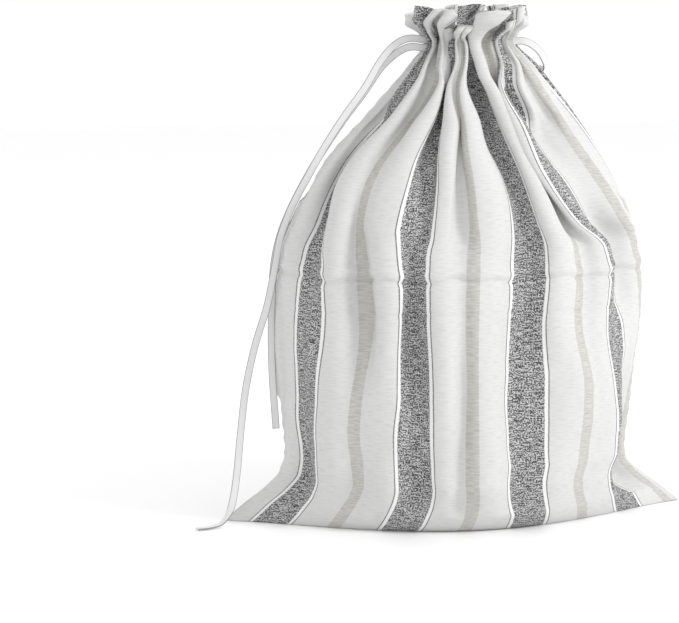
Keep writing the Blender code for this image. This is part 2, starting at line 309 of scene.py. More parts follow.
@dataclass
class BagForm:
    """The draped form of the bag, read at any height, with the cloth laid round it.

    A pleat is a wave of the cloth's direction: its sharpness says how wide its crest is.
    Where a pleat splits, it makes more lobes above the split. Fine folds are the small
    puckers that the drawn tape makes, most of them at the neck.
    """

    panel_width: float = 0.330
    neck_height: float = 0.317
    rim_height: float = 0.338
    fin_top: float = 0.044
    fin_half_thickness: float = 0.0012
    fin_power: int = 8
    sharpness: float = 1.0
    least_sharpness: float = 0.01
    sharp_to: float = 0.27
    sharp_fade: float = 0.05
    split_from: float = 0.245
    split_over: float = 0.04
    body_top: float = 0.185
    shoulder: float = 0.050
    fine_share: float = 0.80
    fine_height: float = 0.314
    fine_above: float = 0.009
    fine_below: float = 0.024
    fine_sway: float = 0.45
    sway_turn: float = 2.4
    sway_start: float = 0.6
    fine_folds: int = 2
    more_folds_every: int = 3
    least_fold: float = 0.16
    steepest_fold: float = 2.30
    steepness_steps: int = 93
    turn_steps: int = 180
    stretch_limit: float = 1.8
    samples: int = 661
    outline_samples: int = 721
    solve_steps: int = 24
    steepness: Array = field(init=False)
    shortening: Array = field(init=False)

    def __post_init__(self) -> None:
        """Tabulate how much a wave of folds shortens the cloth at each steepness."""
        self.steepness = np.linspace(0.0, self.steepest_fold, self.steepness_steps)
        turn = np.linspace(0.0, 2.0 * np.pi, self.turn_steps, endpoint=False)
        self.shortening = np.cos(np.outer(self.steepness, np.sin(turn))).mean(axis=1)

    def read(self, height: float) -> Array:
        """Read the form's sizes at a height, on a smooth curve that never overshoots.

        Args:
            height: The height above the floor.

        Returns:
            Half width, half depth, centre x and end power.
        """
        rows = np.array(FORM)
        return smooth_curve(rows[:, 0], rows[:, 1:], height)[0]

    def ring(self, height: float) -> tuple[Array, Array, Array, float]:
        """Return a level's outline twice round, from half a level before its left end.

        Args:
            height: The height above the floor.

        Returns:
            The outline's points, the way in at each, the run to each with 0 at the left
            end, and the length of the level's half.
        """
        half_width, half_depth, centre, power = self.read(height)
        turn = np.linspace(0.0, np.pi, self.outline_samples)
        fin = self.fin_half_thickness * smooth_step(1.0 - height / self.fin_top)
        body_depth = half_depth * np.sin(turn) ** (2.0 * power)
        fin_depth = fin * np.sqrt(np.clip(1.0 - np.cos(turn) ** self.fin_power, 0.0, 1.0))
        front = np.column_stack([centre - half_width * np.cos(turn),
                                 -np.hypot(body_depth, fin_depth)])
        inward = inward_of(front)
        mirror = np.array([1.0, -1.0])
        back, back_inward = front[::-1] * mirror, inward[::-1] * mirror
        line = np.vstack([back[:-1], front[:-1], back[:-1], front])
        ways = np.vstack([back_inward[:-1], inward[:-1], back_inward[:-1], inward])
        run = run_of(line)
        half = float(run[self.outline_samples - 1])
        return line, ways, run - half, half

    def marks(self, panel: Panel, height: float, half: float) -> tuple[Array, Array]:
        """Say where marked places of a panel lie round a level.

        Args:
            panel: The panel.
            height: The level's height.
            half: The length of the level's half.

        Returns:
            The marked places, and the run where each of them is to lie.
        """
        table = np.array(MARK_SHARES)
        shares = smooth_curve(table[:, 0], table[:, 1:], height)[0]
        if panel is Panel.FRONT:
            return np.array(MARK_PLACES), shares * half
        start, end = shares[-1], 2.0 + shares[0]
        back = np.array(BACK_SHARES)
        ways = smooth_curve(back[:, 0], back[:, 1:], height)[0]
        return np.array(BACK_PLACES), (start + (end - start) * ways) * half

    def pleats(self, panel: Panel) -> list[tuple[Pleat, float]]:
        """List a panel's pleats.

        Args:
            panel: The panel.

        Returns:
            Each pleat, with the place where it starts.
        """
        chosen = [pleat for pleat in PLEATS if pleat.panel is panel]
        starts = np.concatenate([[0.0], np.cumsum([pleat.width for pleat in chosen])[:-1]])
        return list(zip(chosen, starts))

    def fine_part(self, number: int, height: float) -> float:
        """Say how much of one pleat is fine folds at a height.

        Args:
            number: The pleat's number in its panel, which sets how far down they reach.
            height: The level's height.

        Returns:
            The share of fine folds, from 0 to 1.
        """
        reach = self.fine_above
        if height < self.fine_height:
            sway = self.fine_sway * math.sin(self.sway_turn * number + self.sway_start)
            reach = self.fine_below * (1.0 + sway)
        return self.fine_share * float(bell(height, self.fine_height, reach))

    def waves(self, panel: Panel, places: Array, height: float) -> Array:
        """Read the waves of the folds across a panel.

        Args:
            panel: The panel.
            places: Places across it.
            height: The level's height.

        Returns:
            The wave at each place, about 1 high for a pleat of weight 1.
        """
        blunt = smooth_step((height - self.sharp_to) / self.sharp_fade)
        sharp = self.sharpness * (1.0 - blunt) + self.least_sharpness
        split = smooth_step((height - self.split_from) / self.split_over)
        risen = smooth_step((height - self.body_top) / self.shoulder)
        waves = np.zeros_like(places)
        for number, (pleat, start) in enumerate(self.pleats(panel)):
            share = np.clip((places - start) / pleat.width, 0.0, 1.0)
            phase = 0.5 + 0.5 * np.tanh(sharp * (2.0 * share - 1.0)) / np.tanh(sharp)
            main = (1.0 - split) * np.sin(2.0 * np.pi * phase)
            main += split * np.sin(2.0 * np.pi * pleat.splits * phase)
            one_more = number % self.more_folds_every == 0
            folds = pleat.splits * (self.fine_folds + one_more)
            small = np.sin(2.0 * np.pi * folds * share)
            fine = self.fine_part(number, height)
            weight = pleat.weight * (pleat.kept + (1.0 - pleat.kept) * risen)
            waves += weight * (math.sqrt(1.0 - fine) * main + math.sqrt(fine) * small)
        return waves

    def lay(self, panel: Panel, height: float) -> tuple[Array, Array]:
        """Lay one panel's cloth along its part of a level, in folds that take its slack.

        Args:
            panel: The panel to lay.
            height: The level's height.

        Returns:
            Evenly spaced places across the panel, and the cloth's x and y at each.
        """
        outline, ways, run, half = self.ring(height)
        knots, marks = self.marks(panel, height, half)
        places = np.linspace(0.0, self.panel_width, self.samples)
        wanted = np.gradient(smooth_curve(knots, marks, places), places)
        steep = np.interp(-wanted, -self.shortening, self.steepness)
        angles = (self.least_fold + steep) * self.waves(panel, places, height)
        crests = np.array([start for _, start in self.pleats(panel)] + [self.panel_width])
        step = places[1] - places[0]

        def laid(scale: float) -> Array:
            """Lay the cloth with one scale of its folds.

            Args:
                scale: What the angles of the folds are multiplied by.

            Returns:
                The cloth's x and y at each place.
            """
            turned = np.clip(scale * angles, -self.steepest_fold, self.steepest_fold)
            middle = 0.5 * (turned[1:] + turned[:-1])
            ahead = np.concatenate([[0.0], np.cumsum(np.cos(middle)) * step])
            depth = np.concatenate([[0.0], np.cumsum(np.sin(middle)) * step])
            depth -= smooth_curve(crests, np.interp(crests, places, depth), places)
            rough = marks[0] + ahead / ahead[-1] * (marks[-1] - marks[0])
            misses = marks - np.interp(knots, places, rough)
            reached = rough + smooth_curve(knots, misses, places)
            inward = read_along(ways, run, reached)
            return read_along(outline, run, reached) + inward * depth[:, None]

        # The scale is found by halving, so that the line is as long as the panel is wide
        low, high = 0.0, self.stretch_limit
        for _ in range(self.solve_steps):
            scale = 0.5 * (low + high)
            if run_of(laid(scale))[-1] < self.panel_width:
                low = scale
            else:
                high = scale
        return places, laid(low)


@dataclass(frozen=True)
class Grain:
    """The patches of a noise: their width and height in metres, and their detail."""

    width: float
    height: float
    detail: float


class NodeSheet:
    """A short way to lay out the nodes of one tree."""

    def __init__(self, tree: bpy.types.NodeTree) -> None:
        """Start on a tree.

        Args:
            tree: The tree to lay the nodes in.
        """
        self.tree = tree

    def put(self, value: object, socket: Socket) -> None:
        """Link a socket to another one, or set it to a plain value.

        Args:
            value: The other socket, or the value.
            socket: The input to fill.
        """
        if isinstance(value, Socket):
            self.tree.links.new(value, socket)
        else:
            socket.default_value = value

    def add(self, kind: str, inputs: dict[int | str, object] | None = None,
            **settings: object) -> bpy.types.Node:
        """Add a node, set its properties and fill its inputs.

        Args:
            kind: The node's type.
            inputs: A value or a socket for each input, by its name or number.
            settings: The node's properties.

        Returns:
            The node.
        """
        node = self.tree.nodes.new(kind)
        for name, value in settings.items():
            setattr(node, name, value)
        for key, value in (inputs or {}).items():
            self.put(value, node.inputs[key])
        return node


class MaterialSheet(NodeSheet):
    """A short way to lay out one material, in metres on the Cloth map."""

    def __init__(self, name: str) -> None:
        """Make the material and keep its tree and its shader.

        Args:
            name: The material's name.
        """
        self.material = bpy.data.materials.new(name)
        self.material.use_nodes = True
        super().__init__(self.material.node_tree)
        self.shader = self.tree.nodes["Principled BSDF"]

    def set(self, name: str, value: object) -> None:
        """Set an input of the shader, or link a socket to it."""
        self.put(value, self.shader.inputs[name])

    def maths(self, operation: str, *values: object) -> Socket:
        """Return the result of a Math node."""
        node = self.add("ShaderNodeMath", dict(enumerate(values)), operation=operation)
        return node.outputs[0]

    def ramp(self, value: Socket, span: Span, low: float = 0.0, high: float = 1.0) -> Socket:
        """Return a smooth rise from low to high as a value crosses a span."""
        inputs = dict(enumerate((value, *span, low, high)))
        return self.add("ShaderNodeMapRange", inputs, interpolation_type="SMOOTHSTEP").outputs[0]

    def mix(self, share: Socket, first: Socket | Colour, second: Socket | Colour) -> Socket:
        """Return a colour between two others."""
        inputs = {MIX_SHARE: share, MIX_FIRST: first, MIX_SECOND: second}
        return self.add("ShaderNodeMix", inputs, data_type="RGBA").outputs[MIX_RESULT]

    def raise_wave(self, wave: Socket) -> Socket:
        """Return a wave that went from -1 to 1 as one that goes from 0 to 1."""
        return self.maths("MULTIPLY_ADD", wave, 0.5, 0.5)

    def noise(self, across: Socket, up: Socket, grain: Grain) -> Socket:
        """Lay out soft noise.

        Args:
            across: The place across the cloth.
            up: The place up the cloth.
            grain: The size and the detail of its patches.

        Returns:
            The noise, about 0.5 on average.
        """
        spot = self.add("ShaderNodeCombineXYZ", {
            0: self.maths("DIVIDE", across, grain.width),
            1: self.maths("DIVIDE", up, grain.height),
        })
        inputs = {"Vector": spot.outputs[0], "Scale": 1.0, "Detail": grain.detail}
        return self.add("ShaderNodeTexNoise", inputs, noise_dimensions="2D").outputs[0]

    def cloth_place(self) -> tuple[Socket, Socket]:
        """Read the Cloth map.

        Returns:
            The places across and up the cloth, in metres.
        """
        spot = self.add("ShaderNodeUVMap", uv_map="Cloth")
        parts = self.add("ShaderNodeSeparateXYZ", {0: spot.outputs[0]})
        return parts.outputs[0], parts.outputs[1]

    def threads(self, across: Socket, up: Socket, pitch: float) -> Socket:
        """Lay out a plain weave.

        Args:
            across: The place across the cloth.
            up: The place up the cloth.
            pitch: The distance from one thread to the next.

        Returns:
            The weave's height, from 0 to 1.
        """
        turn = math.pi / pitch
        warp = self.maths("SINE", self.maths("MULTIPLY", across, turn))
        weft = self.maths("SINE", self.maths("MULTIPLY", up, turn))
        return self.raise_wave(self.maths("MULTIPLY", warp, weft))

    def bump(self, height: Socket, strength: float, depth: float) -> None:
        """Wire a height into the shader's normal, a height of 1 being the depth in metres."""
        inputs = {"Strength": strength, "Distance": depth, "Height": height}
        self.set("Normal", self.add("ShaderNodeBump", inputs).outputs[0])


@dataclass(frozen=True)
class StripePlan:
    """The woven stripes, by distances across the cloth.

    The middle of the first dark stripe is measured from the left seam, and the pitch from
    one dark stripe to the next. The rest is measured from the middle of a stripe.
    """

    pitch: float = 0.0830
    first_dark: float = 0.0300
    dark_half: float = 0.0115
    line_start: float = 0.0138
    line_end: float = 0.0145
    greige_half: float = 0.0043
    edge: float = 0.00025

    def span(self, away: float) -> Span:
        """Return the narrow span in which a stripe ends, round a distance away from it."""
        return away - self.edge, away + self.edge


@dataclass(frozen=True)
class LinenFinish:
    """Plain-woven linen: off-white with charcoal and greige stripes and fine lines.

    A slub is a thick stretch of weft, and a fleck is a pale thread in a charcoal stripe.
    A bleached band lies on each side of a charcoal stripe, up to its fine line.
    """

    stripes: StripePlan = StripePlan()
    white: Colour = (0.615, 0.615, 0.61, 1.0)
    white_slub: Colour = (0.56, 0.56, 0.555, 1.0)
    bleached: Colour = (0.76, 0.76, 0.76, 1.0)
    charcoal: Colour = (0.055, 0.055, 0.056, 1.0)
    charcoal_fleck: Colour = (0.56, 0.56, 0.56, 1.0)
    greige: Colour = (0.53, 0.52, 0.49, 1.0)
    greige_slub: Colour = (0.43, 0.42, 0.39, 1.0)
    wander: Grain = Grain(0.0016, 0.0009, 1.0)
    wander_reach: float = 0.0005
    slub: Grain = Grain(0.0065, 0.0008, 2.0)
    slub_span: Span = (0.42, 0.72)
    greige_slub_span: Span = (0.38, 0.66)
    fleck: Grain = Grain(0.0010, 0.0008, 1.5)
    fleck_weight: float = 0.75
    fleck_slub_weight: float = 0.45
    fleck_span: Span = (0.52, 0.72)
    line_share: float = 0.85
    thread_pitch: float = 0.00055
    thread_height: float = 0.5
    slub_height: float = 0.14
    bump_strength: float = 0.55
    bump_depth: float = 0.00022
    roughness: float = 0.88
    sheen: float = 0.12
    sheen_roughness: float = 0.5
    specular: float = 0.25

    def stripe_shares(self, sheet: MaterialSheet, across: Socket,
                      up: Socket) -> tuple[Socket, Socket, Socket, Socket]:
        """Lay out the stripes, with edges that wander by a thread.

        Args:
            sheet: The material's sheet.
            across: The place across the cloth.
            up: The place up the cloth.

        Returns:
            How far a point is in a dark stripe, in its fine line, within that line and
            in a greige stripe.
        """
        plan = self.stripes
        wander = sheet.noise(across, up, self.wander)
        shifted = sheet.maths("MULTIPLY_ADD", wander, self.wander_reach, across)
        middle = plan.first_dark + 0.5 * self.wander_reach
        centred = sheet.maths("SUBTRACT", shifted, middle)
        within = sheet.maths("WRAP", centred, 0.5 * plan.pitch, -0.5 * plan.pitch)
        away = sheet.maths("ABSOLUTE", within)
        dark = sheet.ramp(away, plan.span(plan.dark_half), 1.0, 0.0)
        line_in = sheet.ramp(away, plan.span(plan.line_start))
        line_out = sheet.ramp(away, plan.span(plan.line_end), 1.0, 0.0)
        line = sheet.maths("MULTIPLY", line_in, line_out)
        band = sheet.ramp(away, plan.span(plan.line_start), 1.0, 0.0)
        greige = sheet.ramp(away, plan.span(0.5 * plan.pitch - plan.greige_half))
        return dark, line, band, greige

    def make(self) -> bpy.types.Material:
        """Make the material.

        Returns:
            The material, which reads the Cloth map.
        """
        sheet = MaterialSheet("striped_linen")
        across, up = sheet.cloth_place()
        dark, line, band, pale = self.stripe_shares(sheet, across, up)
        slub = sheet.noise(across, up, self.slub)
        fleck = sheet.maths("MULTIPLY", sheet.noise(across, up, self.fleck), self.fleck_weight)
        flecks = sheet.maths("MULTIPLY_ADD", slub, self.fleck_slub_weight, fleck)
        ground = sheet.mix(sheet.ramp(slub, self.slub_span), self.white, self.white_slub)
        greige = sheet.mix(sheet.ramp(slub, self.greige_slub_span), self.greige, self.greige_slub)
        heather = sheet.mix(sheet.ramp(flecks, self.fleck_span), self.charcoal,
                            self.charcoal_fleck)
        colour = sheet.mix(pale, sheet.mix(band, ground, self.bleached), greige)
        colour = sheet.mix(sheet.maths("MULTIPLY", line, self.line_share), colour, self.charcoal)
        sheet.set("Base Color", sheet.mix(dark, colour, heather))
        weave = sheet.maths("MULTIPLY", sheet.threads(across, up, self.thread_pitch),
                            self.thread_height)
        raised = sheet.maths("MULTIPLY_ADD", slub, self.slub_height, weave)
        sheet.bump(raised, self.bump_strength, self.bump_depth)
        sheet.set("Roughness", self.roughness)
        sheet.set("Sheen Weight", self.sheen)
        sheet.set("Sheen Roughness", self.sheen_roughness)
        sheet.set("Specular IOR Level", self.specular)
        return sheet.material


@dataclass(frozen=True)
class CottonFinish:
    """Bleached cotton: a flat herringbone tape, or the sewing thread, with painted shade darkening
    the tape's edges.
    """

    name: str
    colour: Colour = (0.78, 0.78, 0.78, 1.0)
    shade: Colour = (0.60, 0.60, 0.60, 1.0)
    shade_share: float = 0.5
    # Painted shade: the dark grey that colours the tape's two edges, standing in for the shade
    # along them
    painted_edge_shade: Colour = (0.30, 0.30, 0.30, 1.0)
    painted_edge_shade_span: Span = (0.00185, 0.00225)
    rib: float = 0.0009
    bump_strength: float = 0.5
    bump_depth: float = 0.00015
    roughness: float = 0.85
    specular: float = 0.25

    def make(self) -> bpy.types.Material:
        """Make the material.

        Returns:
            The material, which reads the Cloth map.
        """
        sheet = MaterialSheet(self.name)
        across, up = sheet.cloth_place()
        slant = sheet.maths("ABSOLUTE", across)
        wave = sheet.maths("MULTIPLY", sheet.maths("ADD", slant, up), 2.0 * math.pi / self.rib)
        ribs = sheet.raise_wave(sheet.maths("SINE", wave))
        shaded = sheet.maths("MULTIPLY", ribs, self.shade_share)
        ribbed = sheet.mix(shaded, self.colour, self.shade)
        # Painted shade: the colour turns dark grey towards the tape's edges
        edge = sheet.ramp(slant, self.painted_edge_shade_span)
        sheet.set("Base Color", sheet.mix(edge, ribbed, self.painted_edge_shade))
        sheet.bump(ribs, self.bump_strength, self.bump_depth)
        sheet.set("Roughness", self.roughness)
        sheet.set("Specular IOR Level", self.specular)
        return sheet.material


@dataclass(frozen=True)
class Swell:
    """A soft wave over a panel: its depth, its turn in radians a metre, and its start.

    Side share says how far the back panel's wave is shifted against the front panel's.
    """

    depth: float
    across: float
    up: float = 0.0
    start: float = 0.0
    side_share: float = 1.0

    def read(self, places: Array, height: float, side: float) -> Array:
        """Return the wave's depth at places on a level."""
        turn = self.across * places + self.up * height + self.start
        return self.depth * np.sin(turn + self.side_share * side)


BODY_SWELLS = (
    Swell(0.0013, 61.0, 27.0),
    Swell(0.0009, 117.0, -43.0, side_share=2.2),
    Swell(0.0007, 39.0, 71.0, start=0.7, side_share=0.0),
)
CREASE_SWELLS = (
    Swell(0.0011, 95.0),
    Swell(0.0008, 231.0, side_share=2.0),
)

# The crease where the bag was folded: push in, height above the crease's line, reach
CREASE = (
    (0.0013, 0.0000, 0.0017),
    (-0.0009, 0.0050, 0.0026),
)


@dataclass
class BagCloth:
    """The bag's cloth: one strip, folded at the bottom, seamed and gathered.

    The mesh rows are levels of the form, closer together at the crease and the neck. The
    base is a row of strips on each side of the fold. Lobes are the ruffle's waves, with
    gaps between them that drop and draw in.
    """

    form: BagForm
    finish: LinenFinish
    node: str = "bag_cloth"
    strip_length: float = 0.860
    thickness: float = 0.0008
    columns_a_panel: int = 150
    wall_rows: int = 132
    wall_rise: float = 1.25
    wall_ease: float = 0.05
    ruffle_rows: int = 14
    base_rows: int = 6
    base_allowance: float = 0.004
    crease_height: float = 0.1665
    crease_below: float = 0.0060
    crease_above: float = 0.0120
    crease_rows: int = 22
    crease_margin: float = 0.0008
    low_crease_depth: float = 0.0006
    low_crease_drop: float = 0.0215
    low_crease_reach: float = 0.0018
    back_shift: float = 1.7
    hang_from: float = 0.03
    hang_to: float = 0.24
    hang_fade: float = 0.06
    pucker_depth: float = 0.0005
    pucker_reach: float = 0.006
    pucker_turn: float = 640.0
    groove_depth: float = 0.0008
    groove_reach: float = 0.0013
    seam_margin: float = 0.004
    lean_power: float = 1.8
    gap_drop: float = 0.0025
    gap_depth: float = 0.0025
    rows: list[Array] = field(default_factory=list)

    def level_list(self) -> list[float]:
        """List the levels of the mesh rows.

        Returns:
            The levels, from the floor to the rim.
        """
        form = self.form
        lifted = np.linspace(0.0, 1.0, self.wall_rows) ** self.wall_rise
        eased = lifted + self.wall_ease * np.sin(np.pi * lifted) * np.sin(2.0 * np.pi * lifted)
        wall = form.neck_height * eased
        above = np.linspace(0.0, 1.0, self.ruffle_rows + 1)[1:]
        ruffle = form.neck_height + (form.rim_height - form.neck_height) * above
        crease = self.crease_height + np.linspace(-self.crease_below, self.crease_above,
                                                  self.crease_rows)
        below = wall < crease[0] - self.crease_margin
        wall = wall[below | (wall > crease[-1] + self.crease_margin)]
        return sorted([*wall, *crease, *ruffle])

    def relief(self, panel: Panel, places: Array, height: float) -> Array:
        """Read the small creases, swells and puckers of a panel.

        Args:
            panel: The panel.
            places: Places across it.
            height: The level's height.

        Returns:
            How far they push the cloth in at each place, in metres.
        """
        side = 0.0 if panel is Panel.FRONT else self.back_shift
        hang = smooth_step(height / self.hang_from)
        hang *= 1.0 - smooth_step((height - self.hang_to) / self.hang_fade)
        wander = sum(swell.read(places, height, side) for swell in CREASE_SWELLS)
        above = height - self.crease_height
        push = sum(swell.read(places, height, side) for swell in BODY_SWELLS)
        for depth, rise, reach in CREASE:
            push += depth * bell(above - wander, rise, reach)
        push += self.low_crease_depth * bell(above, -self.low_crease_drop, self.low_crease_reach)
        near_seam = np.minimum(places, self.form.panel_width - places)
        pucker = self.pucker_depth * bell(near_seam, 0.0, self.pucker_reach)
        groove = self.groove_depth * bell(near_seam, 0.0, self.groove_reach)
        return hang * push + pucker * math.sin(self.pucker_turn * height + side) + groove

    def lobes(self, panel: Panel, places: Array) -> tuple[Array, Array]:
        """Read the ruffle's rim.

        Args:
            panel: The panel.
            places: Places across it.

        Returns:
            How far the rim stands up and how far it leans out at each place.
        """
        table = np.array(RIM[panel])
        lift, lean = smooth_curve(table[:, 0], table[:, 1:], places).T
        for pleat, start in self.form.pleats(panel):
            share = (places - start) / pleat.width
            inside = (share >= 0.0) & (share < 1.0)
            gap = 0.5 - 0.5 * np.cos(2.0 * np.pi * pleat.splits * share)
            lift[inside] -= self.gap_drop * gap[inside]
            lean[inside] -= self.gap_depth * gap[inside]
        return lift, lean

    def panel_row(self, panel: Panel, height: float) -> Array:
        """Shape one panel of the cloth at a level.

        Args:
            panel: The panel.
            height: The level's height, before the ruffle's lobes lift it.

        Returns:
            The x, y and z of the mesh's points, from the panel's first seam to its last.
        """
        form = self.form
        places, line = form.lay(panel, height)
        push = self.relief(panel, places, height)
        if height <= form.fin_top:
            near_seam = np.minimum(places, form.panel_width - places)
            push *= smooth_step(near_seam / self.seam_margin)
        line = line + inward_of(line) * push[:, None]
        share = max(0.0, (height - form.neck_height) / (form.rim_height - form.neck_height))
        lift, lean = self.lobes(panel, places)
        out = unit(line - np.array([form.read(height)[2], 0.0]))
        line = line + out * (lean * share ** self.lean_power)[:, None]
        points = np.column_stack([line, height + lift * share])
        columns = np.linspace(0.0, form.panel_width, self.columns_a_panel + 1)
        return read_along(points, places, columns)

    def loop(self, height: float) -> Array:
        """Shape a whole level of the cloth.

        Args:
            height: The level's height.

        Returns:
            Its points, from the left seam round the front and then the back.
        """
        front = self.panel_row(Panel.FRONT, height)
        back = self.panel_row(Panel.BACK, height)
        seam_left = 0.5 * (front[0] + back[-1])
        seam_right = 0.5 * (front[-1] + back[0])
        return np.vstack([[seam_left], front[1:-1], [seam_right], back[1:-1]])

    def wall_faces(self) -> list[Face]:
        """List the faces of the wall.

        Returns:
            The faces between each two rows, all round.
        """
        count = 2 * self.columns_a_panel
        faces: list[Face] = []
        for row in range(len(self.rows) - 1):
            low, high = row * count, (row + 1) * count
            for column in range(count):
                following = (column + 1) % count
                faces.append((low + column, low + following, high + following, high + column))
        return faces

    def base(self) -> tuple[list[Array], list[Face]]:
        """Lay the base in strips, from the fold out to the wall's first row.

        Returns:
            The points of the fold and of each line beside it, and the faces.
        """
        half = self.columns_a_panel
        count = 2 * half
        first = self.rows[0]
        fold = first[0] + (first[half] - first[0]) * np.linspace(0.0, 1.0, half + 1)[:, None]
        front_edge = first[:half + 1]
        back_edge = np.vstack([first[:1], first[:half - 1:-1]])
        lines = [fold]
        for step in range(1, self.base_rows):
            share = step / self.base_rows
            lines.append(fold + (front_edge - fold) * share)
            lines.append(fold + (back_edge - fold) * share)
        start = len(self.rows) * count
        numbers = []
        for number in range(len(lines)):
            begin = start + number * (half - 1)
            numbers.append([0, *range(begin, begin + half - 1), half])
        fronts = [*numbers[:1], *numbers[1::2], list(range(half + 1))]
        backs = [*numbers[:1], *numbers[2::2], [(count - k) % count for k in range(half + 1)]]
        faces: list[Face] = []
        for strips, turned in ((fronts, False), (backs, True)):
            for inner, outer in zip(strips, strips[1:]):
                for k in range(half):
                    corners = list(dict.fromkeys((outer[k], inner[k], inner[k + 1], outer[k + 1])))
                    faces.append(tuple(reversed(corners) if turned else corners))
        return [line[1:-1] for line in lines], faces

    def build(self) -> bpy.types.Object:
        """Build the cloth as one sheet with its thickness, and map it in metres.

        Returns:
            The cloth.
        """
        self.rows = [self.loop(height) for height in self.level_list()]
        base_lines, base_faces = self.base()
        points = np.vstack([*self.rows, *base_lines])
        cloth = new_piece("linen_cloth", points, self.wall_faces() + base_faces)
        write_map(cloth.data, self.map_spots(points))
        wall = cloth.modifiers.new("thickness", "SOLIDIFY")
        wall.thickness = self.thickness
        wall.offset = -1.0
        wall.use_rim = True
        return cloth

    def map_spots(self, points: Array) -> Array:
        """Say where each point lies on the flat cloth.

        Args:
            points: The mesh's points, the wall's rows first and then the base's lines.

        Returns:
            The metres across from the left seam and the metres up from the fold.
        """
        half = self.columns_a_panel
        count = 2 * half
        stack = np.array(self.rows)
        steps = np.linalg.norm(np.diff(stack, axis=0), axis=2)
        climbed = np.concatenate([[0.0], np.cumsum(steps.mean(axis=1))])
        up = np.abs(stack[0][:, 1]).mean() + self.base_allowance + climbed
        column = np.arange(count)
        across = np.where(column <= half, column, count - column)
        wall = np.column_stack([np.tile(across, len(stack)), np.repeat(up, count)])
        base = np.abs(points[len(wall):])
        inner = np.arange(len(base)) % (half - 1) + 1
        spots = np.vstack([wall, np.column_stack([inner, base[:, 1]])])
        spots[:, 0] *= self.form.panel_width / half
        return spots

    def dress(self, cloth: bpy.types.Object) -> None:
        """Give the cloth its finish, attach it to the body and hide its solid.

        Args:
            cloth: The cloth.
        """
        cloth.data.materials.append(self.finish.make())
        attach(cloth, BODY)
        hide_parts(self.node)


# The tape's section, thicker at its selvedges: shares of its width and of its thickness
TAPE_SECTION = (
    (-0.50, -0.20),
    (-0.44, -0.50),
    (-0.20, -0.44),
    (0.00, -0.40),
    (0.20, -0.44),
    (0.44, -0.50),
    (0.50, -0.20),
    (0.50, 0.20),
    (0.44, 0.50),
    (0.20, 0.44),
    (0.00, 0.40),
    (-0.20, 0.44),
    (-0.44, 0.50),
    (-0.50, 0.20),
)


@dataclass
class Tape:
    """One free stretch of the drawstring, a flat tape along its route."""

    name: str
    node: str
    route: Route
    facing: Facing
    far_end: str
    lay: str
    finish: CottonFinish
    width: float = 0.0048
    thickness: float = 0.0009
    step: float = 0.0025
    curve_steps: int = 16
    landing_height: float = 0.030
    bend_axis: Point = (0.58, 0.12, 0.80)

    def line(self) -> Array:
        """Draw the smooth curve through the route's own points.

        Returns:
            Points on it, a step apart.
        """
        stops = [Vector(stop) for stop in self.route]
        ends = [stops[0] * 2.0 - stops[1]] + stops + [stops[-1] * 2.0 - stops[-2]]
        dense = []
        for before, start, end, after in zip(ends, ends[1:], ends[2:], ends[3:]):
            for part in np.linspace(0.0, 1.0, self.curve_steps, endpoint=False):
                bend = 0.5 * ((end - before) * part
                              + (2.0 * before - 5.0 * start + 4.0 * end - after) * part ** 2
                              + (3.0 * start - before - 3.0 * end + after) * part ** 3)
                dense.append(start + bend)
        curve = np.array(dense + [stops[-1]])
        run = run_of(curve)
        count = int(round(run[-1] / self.step)) + 1
        return read_along(curve, run, np.linspace(0.0, run[-1], count))

    def facings(self, line: Array, along: Array) -> Array:
        """Say which way the tape's flat side looks.

        Args:
            line: The points of its line.
            along: The way that it runs at each of them.

        Returns:
            The way at each point: to the front where it hangs and up where it lies, or
            round the bend's axis.
        """
        if self.facing is Facing.ROUND_A_BEND:
            return np.cross(np.array(self.bend_axis), along)
        hung = smooth_step(line[:, 2:] / self.landing_height)
        return hung * np.array([0.0, -1.0, 0.0]) + (1.0 - hung) * np.array([0.0, 0.0, 1.0])

    def faces(self, rings: int) -> list[Face]:
        """List the faces of the tape.

        Args:
            rings: The number of sections along it.

        Returns:
            The faces between the sections, and the two ends.
        """
        ring = len(TAPE_SECTION)
        faces: list[Face] = []
        for number in range(rings - 1):
            low, high = number * ring, (number + 1) * ring
            for corner in range(ring):
                following = (corner + 1) % ring
                faces.append((low + corner, high + corner, high + following, low + following))
        last = (rings - 1) * ring
        faces.append(tuple(range(ring)))
        faces.append(tuple(last + corner for corner in reversed(range(ring))))
        return faces

    def build(self) -> tuple[bpy.types.Object, Array]:
        """Build the tape and map it in metres.

        Returns:
            The tape, and the line that it follows.
        """
        line = self.line()
        along = unit(np.gradient(line, axis=0))
        across = unit(np.cross(along, self.facings(line, along)))
        through = np.cross(across, along)
        section = np.array(TAPE_SECTION)
        wide = section[:, 0] * self.width
        thick = section[:, 1] * self.thickness
        rings = (line[:, None] + across[:, None] * wide[:, None]
                 + through[:, None] * thick[:, None])
        tape = new_piece(self.name, rings.reshape(-1, 3), self.faces(len(line)))
        run = run_of(line)
        spots = [np.tile(wide, len(line)), np.repeat(run, len(section))]
        write_map(tape.data, np.column_stack(spots))
        return tape, line

    def dress(self, tape: bpy.types.Object, line: Array) -> None:
        """Give the tape its finish, attach it to the body and hide its solid.

        Args:
            tape: The tape.
            line: The line that it follows. It is not used.
        """
        tape.data.materials.append(self.finish.make())
        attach(tape, BODY)
        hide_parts(self.node)


